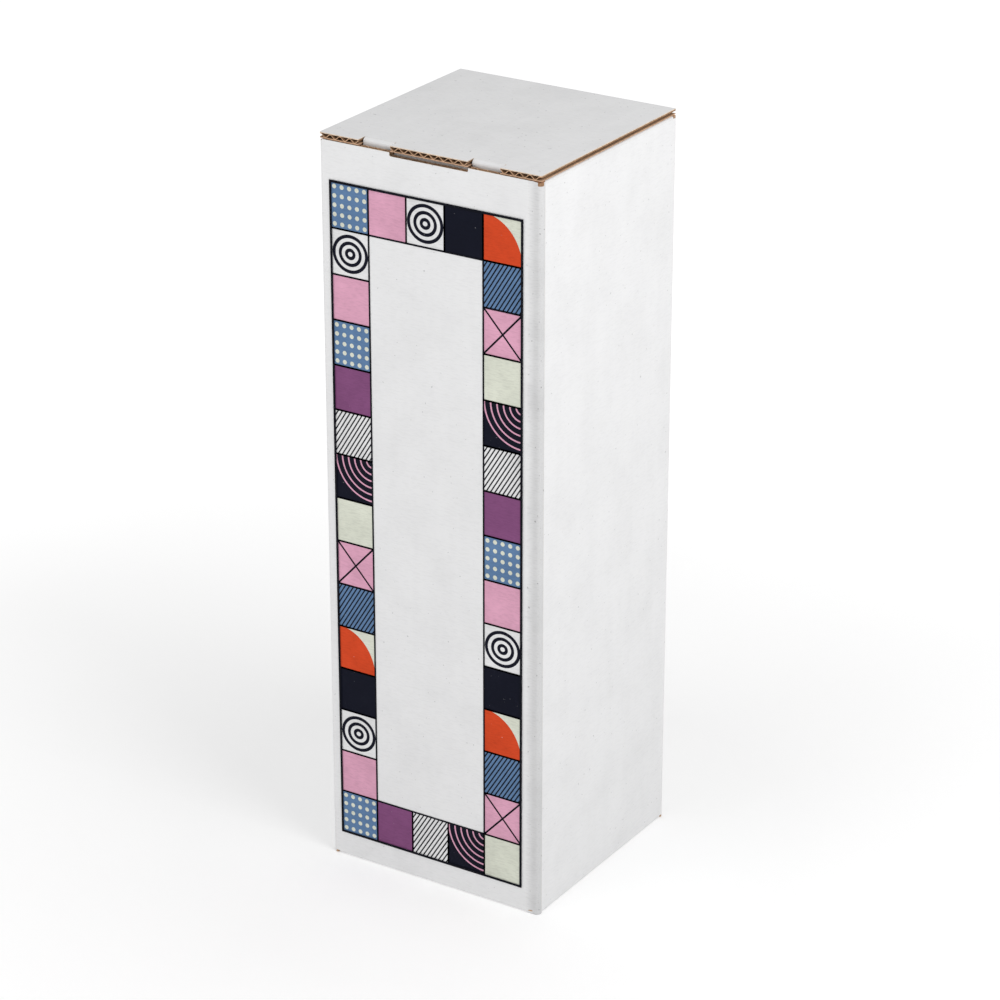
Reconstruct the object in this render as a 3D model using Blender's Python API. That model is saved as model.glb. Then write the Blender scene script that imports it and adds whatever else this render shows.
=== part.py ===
"""Tall square gift box of white E-flute corrugated board.

One die-cut blank folded into a tube, with a hinged lid whose tuck flap goes
down behind the front panel, two dust flaps under the lid, and a snap-lock
bottom of four flaps. Every panel between two creases is its own object, and
every crease is a round bar of board on its fold line, so that a flap turns
about the middle of its crease.

Metres, +Z up. The origin is the middle of the base. The front panel, with
the finger notch, faces -Y. The lid is hinged along the back, at +Y.
"""

import math

import bmesh
import bpy
from mathutils import Matrix, Vector

# ---------------------------------------------------------------- sizes
WIDTH = 0.078  # outside, left to right
DEPTH = 0.078  # outside, front to back
HEIGHT = 0.244  # outside, base to lid top
BOARD = 0.0018  # thickness of the board

GAP = 0.0003  # between pieces that touch
MITRE_GAP = 0.0010  # between neighbouring bottom flaps, along their mitre

TAB_WIDTH = 0.0277  # lid tab over the finger notch
LIP_WIDTH = 0.0144  # uncut lid edge at each end of the tuck flap
NOTCH_DEPTH = 0.0012  # finger notch, below the front panel's top edge
NOTCH_RADIUS = 0.0005

TUCK_LENGTH = 0.0140  # from the tuck crease to the flap's free edge
TUCK_LEAN = math.radians(9)  # how far the folded tuck flap leans inwards
TUCK_RADIUS = 0.0060

DUST_LENGTH = 0.0280  # from the side crease to the flap's free edge
DUST_FRONT_INSET = 0.0045  # from the front crease line, clear of the tuck flap
DUST_BACK_INSET = 0.0030  # from the back crease line, at the flap's root
DUST_BACK_TAPER = 0.0130  # further inset of the back edge at the free edge
DUST_RADIUS = 0.0040

GLUE_WIDTH = 0.0180  # glue flap, from its crease to its free edge
GLUE_END_INSET = 0.0100  # clear of the flaps at both ends
GLUE_TAPER = 0.0060

TONGUE_WIDTH = 0.0300  # lock tongue of the front bottom flap
TONGUE_LENGTH = 0.0120  # past the middle of the base
TONGUE_RADIUS = 0.0050
SIDE_FLAP_LENGTH = 0.0260  # bottom side flaps, crease to free edge
SIDE_FLAP_SLOPE = math.radians(8)  # they rise over the two main flaps
SIDE_FLAP_RADIUS = 0.0040

ROUND_STEPS = 6  # segments in each rounded corner
BAR_SIDES = 16  # sides of each crease bar

# ---------------------------------------------------------------- worked out
HALF = BOARD / 2
CLEAR = HALF + GAP  # from a crease's axis to the panel beside it
SIDE_X = WIDTH / 2 - HALF  # middle of the left and right boards
FRONT_Y = DEPTH / 2 - HALF  # middle of the front and back boards
INNER_X = WIDTH / 2 - BOARD
INNER_Y = DEPTH / 2 - BOARD

LID_Z = HEIGHT - HALF  # middle of the lid board, and its crease
LID_UNDER = HEIGHT - BOARD
DUST_Z = LID_UNDER - GAP - HALF  # middle of the dust flaps, and their creases
BASE_Z = HALF  # middle of the bottom creases
WALL_LOW = BASE_Z + CLEAR
WALL_TOP = LID_UNDER - GAP  # front panel, and back panel under its crease
SIDE_TOP = DUST_Z - CLEAR  # left and right panels, under the dust creases
CORNER_TOP = LID_UNDER - 2 * GAP

TUCK_Y = INNER_Y - GAP - HALF  # tuck crease, just inside the front panel
TUCK_HALF_WIDTH = WIDTH / 2 - LIP_WIDTH
TUCK_ROOT_NOTCH = FRONT_Y + HALF - TUCK_Y  # the board that the lid tab took
SEAM_X = INNER_X - GAP - HALF  # glue crease, just inside the left panel

WHITE = (0.80, 0.80, 0.80, 1.0)
WHITE_CREASE = (0.72, 0.72, 0.72, 1.0)
KRAFT = (0.45, 0.29, 0.16, 1.0)
PAPER_ROUGHNESS = 0.75


# ---------------------------------------------------------------- helpers
def clear_scene():
    for obj in list(bpy.data.objects):
        bpy.data.objects.remove(obj, do_unlink=True)


def new_collection(name):
    found = bpy.data.collections.new(name)
    bpy.context.scene.collection.children.link(found)
    return found


def board_material(name, colour):
    """Uncoated paper, white outside and brown inside."""
    made = bpy.data.materials.new(name)
    made.use_nodes = True
    shader = made.node_tree.nodes["Principled BSDF"]
    shader.inputs["Base Color"].default_value = colour
    shader.inputs["Roughness"].default_value = PAPER_ROUGHNESS
    shader.inputs["Metallic"].default_value = 0.0
    return made


def place(name, data, colour, parent=None, matrix=None):
    """A finished object with its own material, in the box's collection."""
    obj = bpy.data.objects.new(name, data)
    obj.data.materials.append(board_material(name, colour))
    box.objects.link(obj)
    if parent:
        obj.parent = parent
    if matrix:
        obj.matrix_local = matrix
    return obj


def fold_axis(name, at, reach, opens, parent=None):
    """An empty on a crease: its Y runs out along the flap, and the flap opens
    towards its Z by turning about its X."""
    reach, opens = Vector(reach).normalized(), Vector(opens).normalized()
    turn = Matrix((reach.cross(opens), reach, opens)).transposed().to_4x4()
    axis = bpy.data.objects.new(name, None)
    axis.empty_display_size = BOARD * 3
    box.objects.link(axis)
    world = Matrix.Translation(at) @ turn
    if parent:
        axis.parent = parent
        bpy.context.view_layer.update()
        world = parent.matrix_world.inverted() @ world
    axis.matrix_local = world
    return axis


def slab(name, low, high):
    """A plain panel between two corners."""
    low, high = Vector(low), Vector(high)
    mesh = bpy.data.meshes.new(name)
    shape = bmesh.new()
    bmesh.ops.create_cube(shape, size=1.0)
    bmesh.ops.scale(shape, vec=high - low, verts=shape.verts)
    shape.to_mesh(mesh)
    shape.free()
    return place(name, mesh, WHITE, matrix=Matrix.Translation((low + high) / 2))


def crease(name, start, end, parent=None):
    """A round bar of board along a fold line, in the parent's own axes."""
    start, end = Vector(start), Vector(end)
    mesh = bpy.data.meshes.new(name)
    shape = bmesh.new()
    bmesh.ops.create_cone(
        shape,
        cap_ends=True,
        segments=BAR_SIDES,
        radius1=HALF,
        radius2=HALF,
        depth=(end - start).length,
    )
    shape.to_mesh(mesh)
    shape.free()
    mesh.shade_smooth()
    mesh.set_sharp_from_angle(angle=math.radians(40))
    turn = Vector((0, 0, 1)).rotation_difference(end - start).to_matrix().to_4x4()
    middle = Matrix.Translation((start + end) / 2)
    return place(name, mesh, WHITE_CREASE, parent, middle @ turn)


def rounded(corners):
    """Outline points from (x, y, radius) corners, with an arc at each radius."""
    points = []
    for index, (x, y, radius) in enumerate(corners):
        corner = Vector((x, y))
        if radius == 0:
            points.append(corner)
            continue
        before = Vector(corners[index - 1][:2]) - corner
        after = Vector(corners[(index + 1) % len(corners)][:2]) - corner
        half_angle = before.angle(after) / 2
        run = radius / math.tan(half_angle)
        start = corner + before.normalized() * run
        end = corner + after.normalized() * run
        inwards = (before.normalized() + after.normalized()).normalized()
        centre = corner + inwards * radius / math.sin(half_angle)
        sweep = (start - centre).angle_signed(end - centre)
        for step in range(ROUND_STEPS + 1):
            turn = Matrix.Rotation(-sweep * step / ROUND_STEPS, 2)
            points.append(centre + turn @ (start - centre))
    return points


def board(name, corners, parent, colour=WHITE):
    """A flat piece of board with this outline, as thick as the board, lying in
    the XY plane of its fold axis."""
    points = rounded(corners)
    curve = bpy.data.curves.new(name, "CURVE")
    curve.dimensions = "2D"
    curve.fill_mode = "BOTH"
    curve.extrude = HALF
    line = curve.splines.new("POLY")
    line.points.add(len(points) - 1)
    for target, point in zip(line.points, points):
        target.co = (point.x, point.y, 0, 1)
    line.use_cyclic_u = True
    return place(name, curve, colour, parent, Matrix.Identity(4))


# ---------------------------------------------------------------- the tube
def make_front_panel():
    """The printed face, with the finger notch in its top edge."""
    half_width = SIDE_X - CLEAR
    half_notch = TAB_WIDTH / 2
    floor = WALL_TOP - NOTCH_DEPTH
    face = fold_axis(
        "front_panel_plane", (0, -FRONT_Y, 0), reach=(0, 0, 1), opens=(0, -1, 0)
    )
    outline = [
        (-half_width, WALL_LOW, 0),
        (half_width, WALL_LOW, 0),
        (half_width, WALL_TOP, 0),
        (half_notch, WALL_TOP, 0),
        (half_notch, floor, NOTCH_RADIUS),
        (-half_notch, floor, NOTCH_RADIUS),
        (-half_notch, WALL_TOP, 0),
        (-half_width, WALL_TOP, 0),
    ]
    board("front_panel", outline, face)


def make_walls():
    """The left panel's back edge is cut, and laps the glue crease."""
    slab(
        "back_panel",
        (-SEAM_X + CLEAR, INNER_Y, WALL_LOW),
        (SIDE_X - CLEAR, DEPTH / 2, LID_Z - CLEAR),
    )
    slab(
        "right_panel",
        (INNER_X, -FRONT_Y + CLEAR, WALL_LOW),
        (WIDTH / 2, FRONT_Y - CLEAR, SIDE_TOP),
    )
    slab(
        "left_panel",
        (-WIDTH / 2, -FRONT_Y + CLEAR, WALL_LOW),
        (-INNER_X, DEPTH / 2, SIDE_TOP),
    )


def make_corner_creases():
    for name, x, y in (
        ("front_left_crease", -SIDE_X, -FRONT_Y),
        ("front_right_crease", SIDE_X, -FRONT_Y),
        ("back_right_crease", SIDE_X, FRONT_Y),
    ):
        crease(name, (x, y, 0), (x, y, CORNER_TOP))
    crease("glue_crease", (-SEAM_X, FRONT_Y, WALL_LOW), (-SEAM_X, FRONT_Y, CORNER_TOP))


def make_glue_flap():
    """Glued flat to the inside of the left panel, with tapered ends."""
    plane = fold_axis(
        "glue_flap_plane", (-SEAM_X, FRONT_Y, 0), reach=(0, -1, 0), opens=(1, 0, 0)
    )
    low = WALL_LOW + GLUE_END_INSET
    high = SIDE_TOP - GLUE_END_INSET
    # This plane's X runs up the box.
    outline = [
        (low, CLEAR, 0),
        (high, CLEAR, 0),
        (high - GLUE_TAPER, GLUE_WIDTH, 0),
        (low + GLUE_TAPER, GLUE_WIDTH, 0),
    ]
    board("glue_flap", outline, plane, KRAFT)


# ---------------------------------------------------------------- the top
def make_lid():
    """The lid reaches the front face at its tab and its two end lips, and stops
    at the tuck crease between them."""
    hinge = fold_axis("lid_hinge", (0, FRONT_Y, LID_Z), reach=(0, -1, 0), opens=(0, 0, 1))
    half_tab = TAB_WIDTH / 2 - GAP
    lip = TUCK_HALF_WIDTH + GAP
    edge = FRONT_Y + DEPTH / 2
    fold = FRONT_Y + TUCK_Y - CLEAR
    outline = [
        (-WIDTH / 2, CLEAR, 0),
        (WIDTH / 2, CLEAR, 0),
        (WIDTH / 2, edge, 0),
        (lip, edge, 0),
        (lip, fold, 0),
        (half_tab, fold, 0),
        (half_tab, edge, 0),
        (-half_tab, edge, 0),
        (-half_tab, fold, 0),
        (-lip, fold, 0),
        (-lip, edge, 0),
        (-WIDTH / 2, edge, 0),
    ]
    board("lid_panel", outline, hinge)
    half_crease = SIDE_X - CLEAR
    crease("lid_crease", (-half_crease, 0, 0), (half_crease, 0, 0), hinge)
    return hinge


def make_tuck_flap(lid_hinge):
    """It hangs from two short creases beside the lid tab."""
    inwards = Matrix.Rotation(TUCK_LEAN, 3, "X")
    fold = fold_axis(
        "tuck_fold",
        (0, -TUCK_Y, LID_Z),
        reach=inwards @ Vector((0, 0, -1)),
        opens=inwards @ Vector((0, -1, 0)),
        parent=lid_hinge,
    )
    half_tab = TAB_WIDTH / 2
    outline = [
        (-TUCK_HALF_WIDTH, CLEAR, 0),
        (-half_tab, CLEAR, 0),
        (-half_tab, TUCK_ROOT_NOTCH, 0),
        (half_tab, TUCK_ROOT_NOTCH, 0),
        (half_tab, CLEAR, 0),
        (TUCK_HALF_WIDTH, CLEAR, 0),
        (TUCK_HALF_WIDTH, TUCK_LENGTH, TUCK_RADIUS),
        (-TUCK_HALF_WIDTH, TUCK_LENGTH, TUCK_RADIUS),
    ]
    board("tuck_flap", outline, fold)
    inner, outer = half_tab, TUCK_HALF_WIDTH
    # The fold axis's X runs from right to left.
    crease("left_tuck_crease", (inner, 0, 0), (outer, 0, 0), fold)
    crease("right_tuck_crease", (-outer, 0, 0), (-inner, 0, 0), fold)


def make_dust_flap(name, side):
    """One of the two flaps under the lid; side is -1 for left and 1 for right."""
    hinge = fold_axis(
        f"{name}_hinge",
        (side * SIDE_X, 0, DUST_Z),
        reach=(-side, 0, 0),
        opens=(0, 0, 1),
    )
    # The hinge's X runs to the back on the right flap and to the front on the left.
    front = side * (-FRONT_Y + DUST_FRONT_INSET)
    back = side * (FRONT_Y - DUST_BACK_INSET)
    back_tip = side * (FRONT_Y - DUST_BACK_INSET - DUST_BACK_TAPER)
    outline = [
        (front, CLEAR, 0),
        (back, CLEAR, 0),
        (back_tip, DUST_LENGTH, DUST_RADIUS),
        (front, DUST_LENGTH, DUST_RADIUS),
    ]
    board(f"{name}_flap", outline, hinge)
    end = FRONT_Y - CLEAR
    crease(f"{name}_crease", (-end, 0, 0), (end, 0, 0), hinge)


# ---------------------------------------------------------------- the bottom
def mitre(half_side, length):
    """Half the width that a bottom flap has this far from its crease."""
    return half_side - length - MITRE_GAP / 2


def make_main_bottom_flap(name, side, outline_end):
    """The front (-1) or back (1) flap, narrowed where the side flaps are low."""
    hinge = fold_axis(
        f"{name}_hinge",
        (0, side * FRONT_Y, BASE_Z),
        reach=(0, -side, 0),
        opens=(0, 0, -1),
    )
    shoulder = (BOARD + GAP) / math.tan(SIDE_FLAP_SLOPE) + GAP
    root = mitre(SIDE_X, CLEAR)
    waist = mitre(SIDE_X, shoulder)
    outline = [(-root, CLEAR, 0), (root, CLEAR, 0), (waist, shoulder, 0)]
    outline += outline_end(waist)
    outline.append((-waist, shoulder, 0))
    board(f"{name}_flap", outline, hinge)
    end = SIDE_X - CLEAR
    crease(f"{name}_crease", (-end, 0, 0), (end, 0, 0), hinge)


def tongue_end(waist):
    """The front flap's free edge, with the lock tongue past the middle."""
    edge, half_tongue = FRONT_Y - GAP, TONGUE_WIDTH / 2
    tip = FRONT_Y + TONGUE_LENGTH
    return [
        (waist, edge, 0),
        (half_tongue, edge, 0),
        (half_tongue, tip, TONGUE_RADIUS),
        (-half_tongue, tip, TONGUE_RADIUS),
        (-half_tongue, edge, 0),
        (-waist, edge, 0),
    ]


def slot_end(waist):
    """The back flap's free edge, notched for the tongue."""
    edge, half_slot = FRONT_Y - GAP, TONGUE_WIDTH / 2 + GAP
    floor = FRONT_Y - TONGUE_LENGTH - GAP
    return [
        (waist, edge, 0),
        (half_slot, edge, 0),
        (half_slot, floor, TONGUE_RADIUS),
        (-half_slot, floor, TONGUE_RADIUS),
        (-half_slot, edge, 0),
        (-waist, edge, 0),
    ]


def make_side_bottom_flap(name, side):
    """A mitred flap that rises over the front and back flaps."""
    rise = Matrix.Rotation(side * SIDE_FLAP_SLOPE, 3, "Y")
    hinge = fold_axis(
        f"{name}_hinge",
        (side * SIDE_X, 0, BASE_Z),
        reach=rise @ Vector((-side, 0, 0)),
        opens=rise @ Vector((0, 0, -1)),
    )
    root = mitre(FRONT_Y, CLEAR)
    tip = mitre(FRONT_Y, SIDE_FLAP_LENGTH)
    outline = [
        (-root, CLEAR, 0),
        (root, CLEAR, 0),
        (tip, SIDE_FLAP_LENGTH, SIDE_FLAP_RADIUS),
        (-tip, SIDE_FLAP_LENGTH, SIDE_FLAP_RADIUS),
    ]
    board(f"{name}_flap", outline, hinge)
    end = FRONT_Y - CLEAR
    crease(f"{name}_crease", (-end, 0, 0), (end, 0, 0), hinge)


clear_scene()
box = new_collection("corrugated_gift_box")

make_front_panel()
make_walls()
make_corner_creases()
make_glue_flap()
make_tuck_flap(make_lid())
make_dust_flap("left_dust", -1)
make_dust_flap("right_dust", 1)
make_main_bottom_flap("front_bottom", -1, tongue_end)
make_main_bottom_flap("back_bottom", 1, slot_end)
make_side_bottom_flap("left_bottom", -1)
make_side_bottom_flap("right_bottom", 1)
bpy.context.view_layer.update()
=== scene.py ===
# %% [markdown]
# # A tall gift box of corrugated board
# The box is one sheet of board, cut, creased and folded. The board is a sandwich: a
# white liner outside, a brown kraft liner inside and a fluted sheet between them. Most
# of what makes such a box look real is that sandwich, so every panel is built as three
# sheets, laid flat on a bench as the die cuts it and then folded into its place.
# Nothing of it is moved.

# %% Load the frame
import math

import bmesh
import bpy
from mathutils import Matrix, Vector


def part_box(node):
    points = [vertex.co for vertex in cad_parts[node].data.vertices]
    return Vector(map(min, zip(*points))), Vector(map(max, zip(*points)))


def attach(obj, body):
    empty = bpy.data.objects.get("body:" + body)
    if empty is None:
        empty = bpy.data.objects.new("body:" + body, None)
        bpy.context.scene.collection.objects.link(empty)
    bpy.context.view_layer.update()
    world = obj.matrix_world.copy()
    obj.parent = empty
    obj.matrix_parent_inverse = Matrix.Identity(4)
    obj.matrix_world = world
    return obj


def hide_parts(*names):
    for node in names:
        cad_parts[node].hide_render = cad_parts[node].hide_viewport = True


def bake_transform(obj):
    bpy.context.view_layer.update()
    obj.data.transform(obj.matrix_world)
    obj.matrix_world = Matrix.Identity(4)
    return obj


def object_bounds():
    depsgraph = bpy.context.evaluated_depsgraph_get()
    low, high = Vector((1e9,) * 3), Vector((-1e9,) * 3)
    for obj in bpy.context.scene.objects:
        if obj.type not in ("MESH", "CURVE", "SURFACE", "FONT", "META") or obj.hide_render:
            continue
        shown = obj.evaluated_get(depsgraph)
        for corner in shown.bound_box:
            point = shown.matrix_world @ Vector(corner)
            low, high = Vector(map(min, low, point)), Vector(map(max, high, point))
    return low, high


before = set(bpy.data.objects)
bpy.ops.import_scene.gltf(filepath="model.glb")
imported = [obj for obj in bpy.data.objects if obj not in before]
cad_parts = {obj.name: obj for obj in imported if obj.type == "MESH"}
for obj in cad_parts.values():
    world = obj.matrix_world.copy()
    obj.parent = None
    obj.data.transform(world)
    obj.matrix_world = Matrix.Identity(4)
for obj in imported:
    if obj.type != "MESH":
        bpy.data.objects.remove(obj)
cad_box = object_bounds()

X, Y, Z = Vector((1, 0, 0)), Vector((0, 1, 0)), Vector((0, 0, 1))
low, high = cad_box
print("box", [round(side * 1000, 1) for side in high - low], "mm")

# %% [markdown]
# ## Sizes of the board
# Fine board of the E kind is about 1.8 mm thick, and its flutes repeat every 3.5 mm.
# The board's real thickness is read from the CAD panel, and the papers share it.
# Three small distances are used all through: faces that would lie in one plane are set
# SUNK apart, a cut goes SPARE past the edge that it opens, and two places that are less
# than SAME apart, or CLOSE where a shape is rough, count as one.

# %% Sizes of the board
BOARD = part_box("front_panel")[1].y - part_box("front_panel")[0].y
LINER = 0.00026
MEDIUM = 0.00021
FLUTE_PITCH = 0.0035
FLUTE_STEPS = 10
HALF = BOARD / 2
SUNK, SPARE, SAME, CLOSE = 0.00001, 0.001, 0.00001, 0.0001
print("board", round(BOARD * 1000, 2), "mm")


# %% [markdown]
# ## Small helpers for edit mode
# Each operator acts on what is selected, so a helper first makes one object the only
# selected one. `pick` then selects vertices, edges or faces by their place or normal.


# %% Select and edit
def only(thing):
    bpy.ops.object.select_all(action="DESELECT")
    thing.select_set(True)
    bpy.context.view_layer.objects.active = thing


def edit(thing):
    only(thing)
    bpy.ops.object.mode_set(mode="EDIT")
    bpy.ops.mesh.select_mode(type="VERT")
    bpy.ops.mesh.select_all(action="SELECT")


def done():
    bpy.ops.object.mode_set(mode="OBJECT")


def pick(kind, test):
    """In edit mode, selects the parts of that kind whose middle and normal pass the test."""
    bpy.ops.mesh.select_mode(type=kind)
    bpy.ops.mesh.select_all(action="DESELECT")
    data = bpy.context.edit_object.data
    mesh = bmesh.from_edit_mesh(data)
    mesh.normal_update()
    for part in {"VERT": mesh.verts, "EDGE": mesh.edges, "FACE": mesh.faces}[kind]:
        if kind == "VERT":
            middle, normal = part.co, part.normal
        elif kind == "EDGE":
            middle, normal = (part.verts[0].co + part.verts[1].co) / 2, Z
        else:
            middle, normal = part.calc_center_median(), part.normal
        if test(middle, normal):
            part.select_set(True)
    mesh.select_flush_mode()
    bmesh.update_edit_mesh(data)


def settle(thing):
    """Puts the object's place, turn and scale into its mesh."""
    only(thing)
    bpy.ops.object.transform_apply(location=True, rotation=True, scale=True)


def copy_of(thing, name):
    only(thing)
    bpy.ops.object.duplicate(linked=False)
    twin = bpy.context.active_object
    twin.name = name
    return twin


def apply_modifier(thing, kind, **settings):
    only(thing)
    modifier = thing.modifiers.new(kind.lower(), kind)
    for key, value in settings.items():
        setattr(modifier, key, value)
    bpy.ops.object.modifier_apply(modifier=modifier.name)


def join(name, things):
    bpy.ops.object.select_all(action="DESELECT")
    for thing in things:
        thing.select_set(True)
    bpy.context.view_layer.objects.active = things[0]
    bpy.ops.object.join()
    joined = bpy.context.active_object
    joined.name = name
    return joined


def remove(thing):
    only(thing)
    bpy.ops.object.delete()


def smooth(thing, degrees):
    only(thing)
    bpy.ops.object.shade_smooth_by_angle(angle=math.radians(degrees))


def weld():
    """In edit mode, merges what lies at the same place and turns all faces one way."""
    bpy.ops.mesh.select_all(action="SELECT")
    bpy.ops.mesh.remove_doubles(threshold=SAME)
    bpy.ops.mesh.normals_make_consistent(inside=False)


def face_towards(thing, way):
    if thing.data.polygons[0].normal.dot(way) < 0:
        edit(thing)
        bpy.ops.mesh.flip_normals()
        done()


print("helpers ready")

# %% [markdown]
# ## Papers
# White-top liner is bleached pulp over brown pulp, so it is never an even white: it
# has soft clouds, short fibres, a few dark specks, and faint lines where the flutes
# below press through. All of this comes from noise on Object coordinates, which are
# metres here, so a scale of 100 gives patterns about 10 mm wide. The flutes' lines run
# across X on some panels and across Y on others, so the recipe takes that direction.


# %% Node helpers
def new_material(name, roughness):
    material = bpy.data.materials.new(name)
    material.use_nodes = True
    nodes, links = material.node_tree.nodes, material.node_tree.links
    shader = nodes["Principled BSDF"]
    shader.inputs["Roughness"].default_value = roughness
    shader.inputs["Specular IOR Level"].default_value = 0.25
    place = nodes.new("ShaderNodeTexCoord").outputs["Object"]
    return material, nodes, links, shader, place


def noise(nodes, links, place, scale, detail=3.0, stretch=(1, 1, 1), rough=0.55):
    mapping = nodes.new("ShaderNodeMapping")
    mapping.inputs["Scale"].default_value = stretch
    links.new(place, mapping.inputs["Vector"])
    texture = nodes.new("ShaderNodeTexNoise")
    texture.inputs["Scale"].default_value = scale
    texture.inputs["Detail"].default_value = detail
    texture.inputs["Roughness"].default_value = rough
    links.new(mapping.outputs["Vector"], texture.inputs["Vector"])
    return texture.outputs["Fac"]


def ramp(nodes, links, value, stops):
    node = nodes.new("ShaderNodeValToRGB")
    links.new(value, node.inputs["Fac"])
    elements = node.color_ramp.elements
    while len(elements) < len(stops):
        elements.new(0.5)
    for element, (position, colour) in zip(elements, stops):
        element.position = position
        element.color = (*colour, 1)
    return node.outputs["Color"]


def mix(nodes, links, kind, amount, first, second):
    node = nodes.new("ShaderNodeMix")
    node.data_type, node.blend_type = "RGBA", kind
    sockets = node.inputs["Factor"], node.inputs[6], node.inputs[7]
    for socket, value in zip(sockets, (amount, first, second)):
        if hasattr(value, "links"):
            links.new(value, socket)
        elif isinstance(value, tuple):
            socket.default_value = (*value, 1)
        else:
            socket.default_value = value
    return node.outputs[2]


def bump(nodes, links, shader, height, distance, strength=1.0, below=None):
    node = nodes.new("ShaderNodeBump")
    node.inputs["Distance"].default_value = distance
    node.inputs["Strength"].default_value = strength
    links.new(height, node.inputs["Height"])
    if below is not None:
        links.new(below, node.inputs["Normal"])
    links.new(node.outputs["Normal"], shader.inputs["Normal"])
    return node.outputs["Normal"]


def grey(level):
    return (level, level, level)


print("node helpers ready")


# %% Paper recipe
ACROSS_X, ACROSS_Y = (1, 0.12, 0.12), (0.12, 1, 0.12)
WAVE_RATE = 20  # how often a wave texture of scale 1 swings in 2 pi metres


def paper(name, tone, clouds, specks, flute_across, roughness=0.82, speck_tone=0.55):
    """A liner: clouds is how uneven its tone is, specks how much of it is dark flecks."""
    material, nodes, links, shader, place = new_material(name, roughness)
    dark = tuple(channel * (1 - clouds) for channel in tone)
    light = tuple(min(1.0, channel * (1 + clouds * 0.45)) for channel in tone)
    cloud = noise(nodes, links, place, 55, 5.0, rough=0.62)
    colour = ramp(nodes, links, cloud, [(0.30, dark), (0.52, tone), (0.75, light)])
    along = tuple(1.0 if part == 1 else 0.10 for part in flute_across)
    across = tuple(0.18 if part == 1 else 1.0 for part in flute_across)
    fibre = noise(nodes, links, place, 2600, 2.0, across)
    fibres = ramp(nodes, links, fibre, [(0.34, grey(1 - clouds * 0.9)), (0.52, grey(1.0))])
    colour = mix(nodes, links, "MULTIPLY", 1.0, colour, fibres)
    streak = noise(nodes, links, place, 190, 3.0, along)
    streaks = ramp(nodes, links, streak, [(0.35, grey(1 - clouds * 0.35)), (0.60, grey(1.0))])
    colour = mix(nodes, links, "MULTIPLY", 1.0, colour, streaks)
    fleck = noise(nodes, links, place, 900, 1.0)
    flecks = ramp(nodes, links, fleck, [(specks, grey(speck_tone)), (specks + 0.018, grey(1.0))])
    colour = mix(nodes, links, "MULTIPLY", 1.0, colour, flecks)
    links.new(colour, shader.inputs["Base Color"])
    wave = nodes.new("ShaderNodeTexWave")
    wave.wave_type, wave.bands_direction = "BANDS", "X" if flute_across == ACROSS_X else "Y"
    wave.inputs["Scale"].default_value = 2 * math.pi / (WAVE_RATE * FLUTE_PITCH)
    wave.inputs["Distortion"].default_value = 0.6
    wave.inputs["Detail"].default_value = 1.0
    wave.inputs["Detail Scale"].default_value = 12.0
    links.new(place, wave.inputs["Vector"])
    washboard = bump(nodes, links, shader, wave.outputs["Fac"], 0.000018)
    swell = noise(nodes, links, place, 85, 3.0)
    uneven = bump(nodes, links, shader, swell, 0.00022, 0.8, washboard)
    grain = noise(nodes, links, place, 1500, 3.0)
    bump(nodes, links, shader, grain, 0.000035, 0.7, uneven)
    return material


WHITE_TONE = (0.80, 0.80, 0.805)
KRAFT_TONE = (0.50, 0.335, 0.215)
white_x = paper("white_liner_x", WHITE_TONE, 0.04, 0.236, ACROSS_X, speck_tone=0.72)
white_y = paper("white_liner_y", WHITE_TONE, 0.04, 0.236, ACROSS_Y, speck_tone=0.72)
kraft_x = paper("kraft_liner_x", KRAFT_TONE, 0.22, 0.30, ACROSS_X, 0.88, 0.6)
kraft_y = paper("kraft_liner_y", KRAFT_TONE, 0.22, 0.30, ACROSS_Y, 0.88, 0.6)
# The corner band's white paper; painted shade is added to it at the pressed corner.
corner_white_painted_shade = paper("corner_white_painted_shade", WHITE_TONE, 0.09, 0.25, ACROSS_X)
print("papers", [m.name for m in (white_x, white_y, kraft_x, kraft_y, corner_white_painted_shade)])

# %% [markdown]
# The cut edges show what the faces hide: the white liner is cream in section, the
# kraft liner and the flutes are a pale tan where the blade tore them, and the flutes'
# own faces are brown paper, painted darker with the shade that falls inside the board.


# %% Cut edges
def cut_paper(name, tone):
    material, nodes, links, shader, place = new_material(name, 0.9)
    dark = tuple(channel * 0.62 for channel in tone)
    light = tuple(min(1.0, channel * 1.25) for channel in tone)
    torn = noise(nodes, links, place, 1100, 4.0, rough=0.7)
    colour = ramp(nodes, links, torn, [(0.30, dark), (0.50, tone), (0.70, light)])
    blotch = noise(nodes, links, place, 160, 2.0)
    blotches = ramp(nodes, links, blotch, [(0.35, grey(0.86)), (0.60, grey(1.0))])
    colour = mix(nodes, links, "MULTIPLY", 1.0, colour, blotches)
    links.new(colour, shader.inputs["Base Color"])
    bump(nodes, links, shader, torn, 0.00009)
    return material


cut_white = cut_paper("cut_white_liner", (0.74, 0.58, 0.44))
cut_kraft = cut_paper("cut_kraft_liner", (0.60, 0.37, 0.235))
cut_flute = cut_paper("cut_flute", (0.58, 0.36, 0.22))
# Painted shade: the flutes' faces are darker than their paper is, for the shade inside the board.
flute_paper_painted_shade = cut_paper("flute_paper_painted_shade", (0.33, 0.19, 0.105))
print("cut edges", [m.name for m in (cut_white, cut_kraft, cut_flute, flute_paper_painted_shade)])

# %% [markdown]
# ## One flute, repeated
# The fluted sheet is a wave. One pitch of it is a narrow grid whose rows of vertices
# are lifted and lowered, and an Array modifier repeats it, so that a panel 78 mm wide
# has its 22 flutes. Solidify then gives the paper its thickness.


# %% One flute
CREST = 0.85  # under 1 makes the crests of the wave a little fuller


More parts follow.
